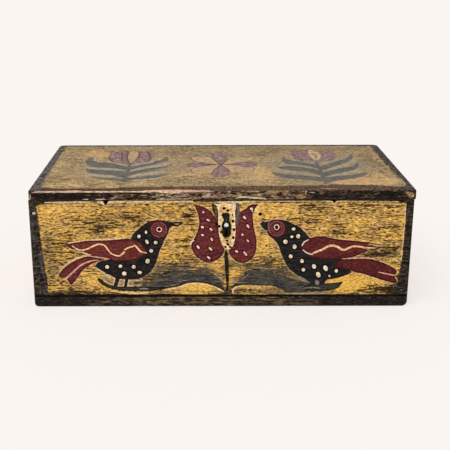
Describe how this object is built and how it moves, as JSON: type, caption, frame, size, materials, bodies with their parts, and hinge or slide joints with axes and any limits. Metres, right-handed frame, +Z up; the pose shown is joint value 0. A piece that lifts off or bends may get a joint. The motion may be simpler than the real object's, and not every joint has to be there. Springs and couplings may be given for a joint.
{
  "type": "painted wooden box",
  "caption": "Long low wooden box of nailed boards with a flat hinged lid, a lock behind a worn keyhole and painted birds and tulips.",
  "frame": {"origin": "centre of the whole box's footprint, on the surface it stands on", "axes": "+X along the front to the viewer's right, +Y from the front to the back, +Z up"},
  "size_m": [0.3686, 0.1848, 0.1202],
  "materials": {
    "painted_pine": "worn matt paint, ochre over black",
    "dark_painted_pine": "worn matt black paint",
    "bare_wood": "dirty bare wood",
    "nail_iron": "rusted, partly painted over",
    "hinge_iron": "dark, light rust",
    "screw_iron": "dark, slots bright from wear",
    "lock_iron": "filed, darkened",
    "worn_iron": "rubbed bright",
    "spring_steel": "blued, dull"
  },
  "bodies": {
    "box": {"front_board": "painted_pine", "back_board": "painted_pine", "left_end_board": "painted_pine", "right_end_board": "painted_pine", "bottom_board": "dark_painted_pine", "front_nails": "nail_iron", "back_nails": "nail_iron", "bottom_nails": "nail_iron", "lock_plate": "lock_iron", "lock_case": "lock_iron", "lock_key_pin": "worn_iron", "lock_rivets": "lock_iron", "lock_spring": "spring_steel", "lock_screws": "screw_iron", "left_hinge_box_leaf": "hinge_iron", "left_hinge_pin": "worn_iron", "left_hinge_box_screws": "screw_iron", "right_hinge_box_leaf": "hinge_iron", "right_hinge_pin": "worn_iron", "right_hinge_box_screws": "screw_iron"},
    "lid": {"lid_board": "painted_pine", "lid_edge_plug": "bare_wood", "catch_staple": "lock_iron", "catch_plate": "lock_iron", "catch_screws": "screw_iron", "left_hinge_lid_leaf": "hinge_iron", "left_hinge_lid_screws": "screw_iron", "right_hinge_lid_leaf": "hinge_iron", "right_hinge_lid_screws": "screw_iron"},
    "bolt": {"lock_bolt": "lock_iron"}
  },
  "joints": [
    {"name": "lid_hinge", "type": "hinge", "parent": "box", "child": "lid", "pos_m": [0, 0.0901, 0.11055], "axis": [-1, 0, 0], "range_deg": [0, 102]},
    {"name": "bolt_slide", "type": "slide", "parent": "box", "child": "bolt", "axis": [-1, 0, 0], "range_m": [0, 0.006]}
  ]
}
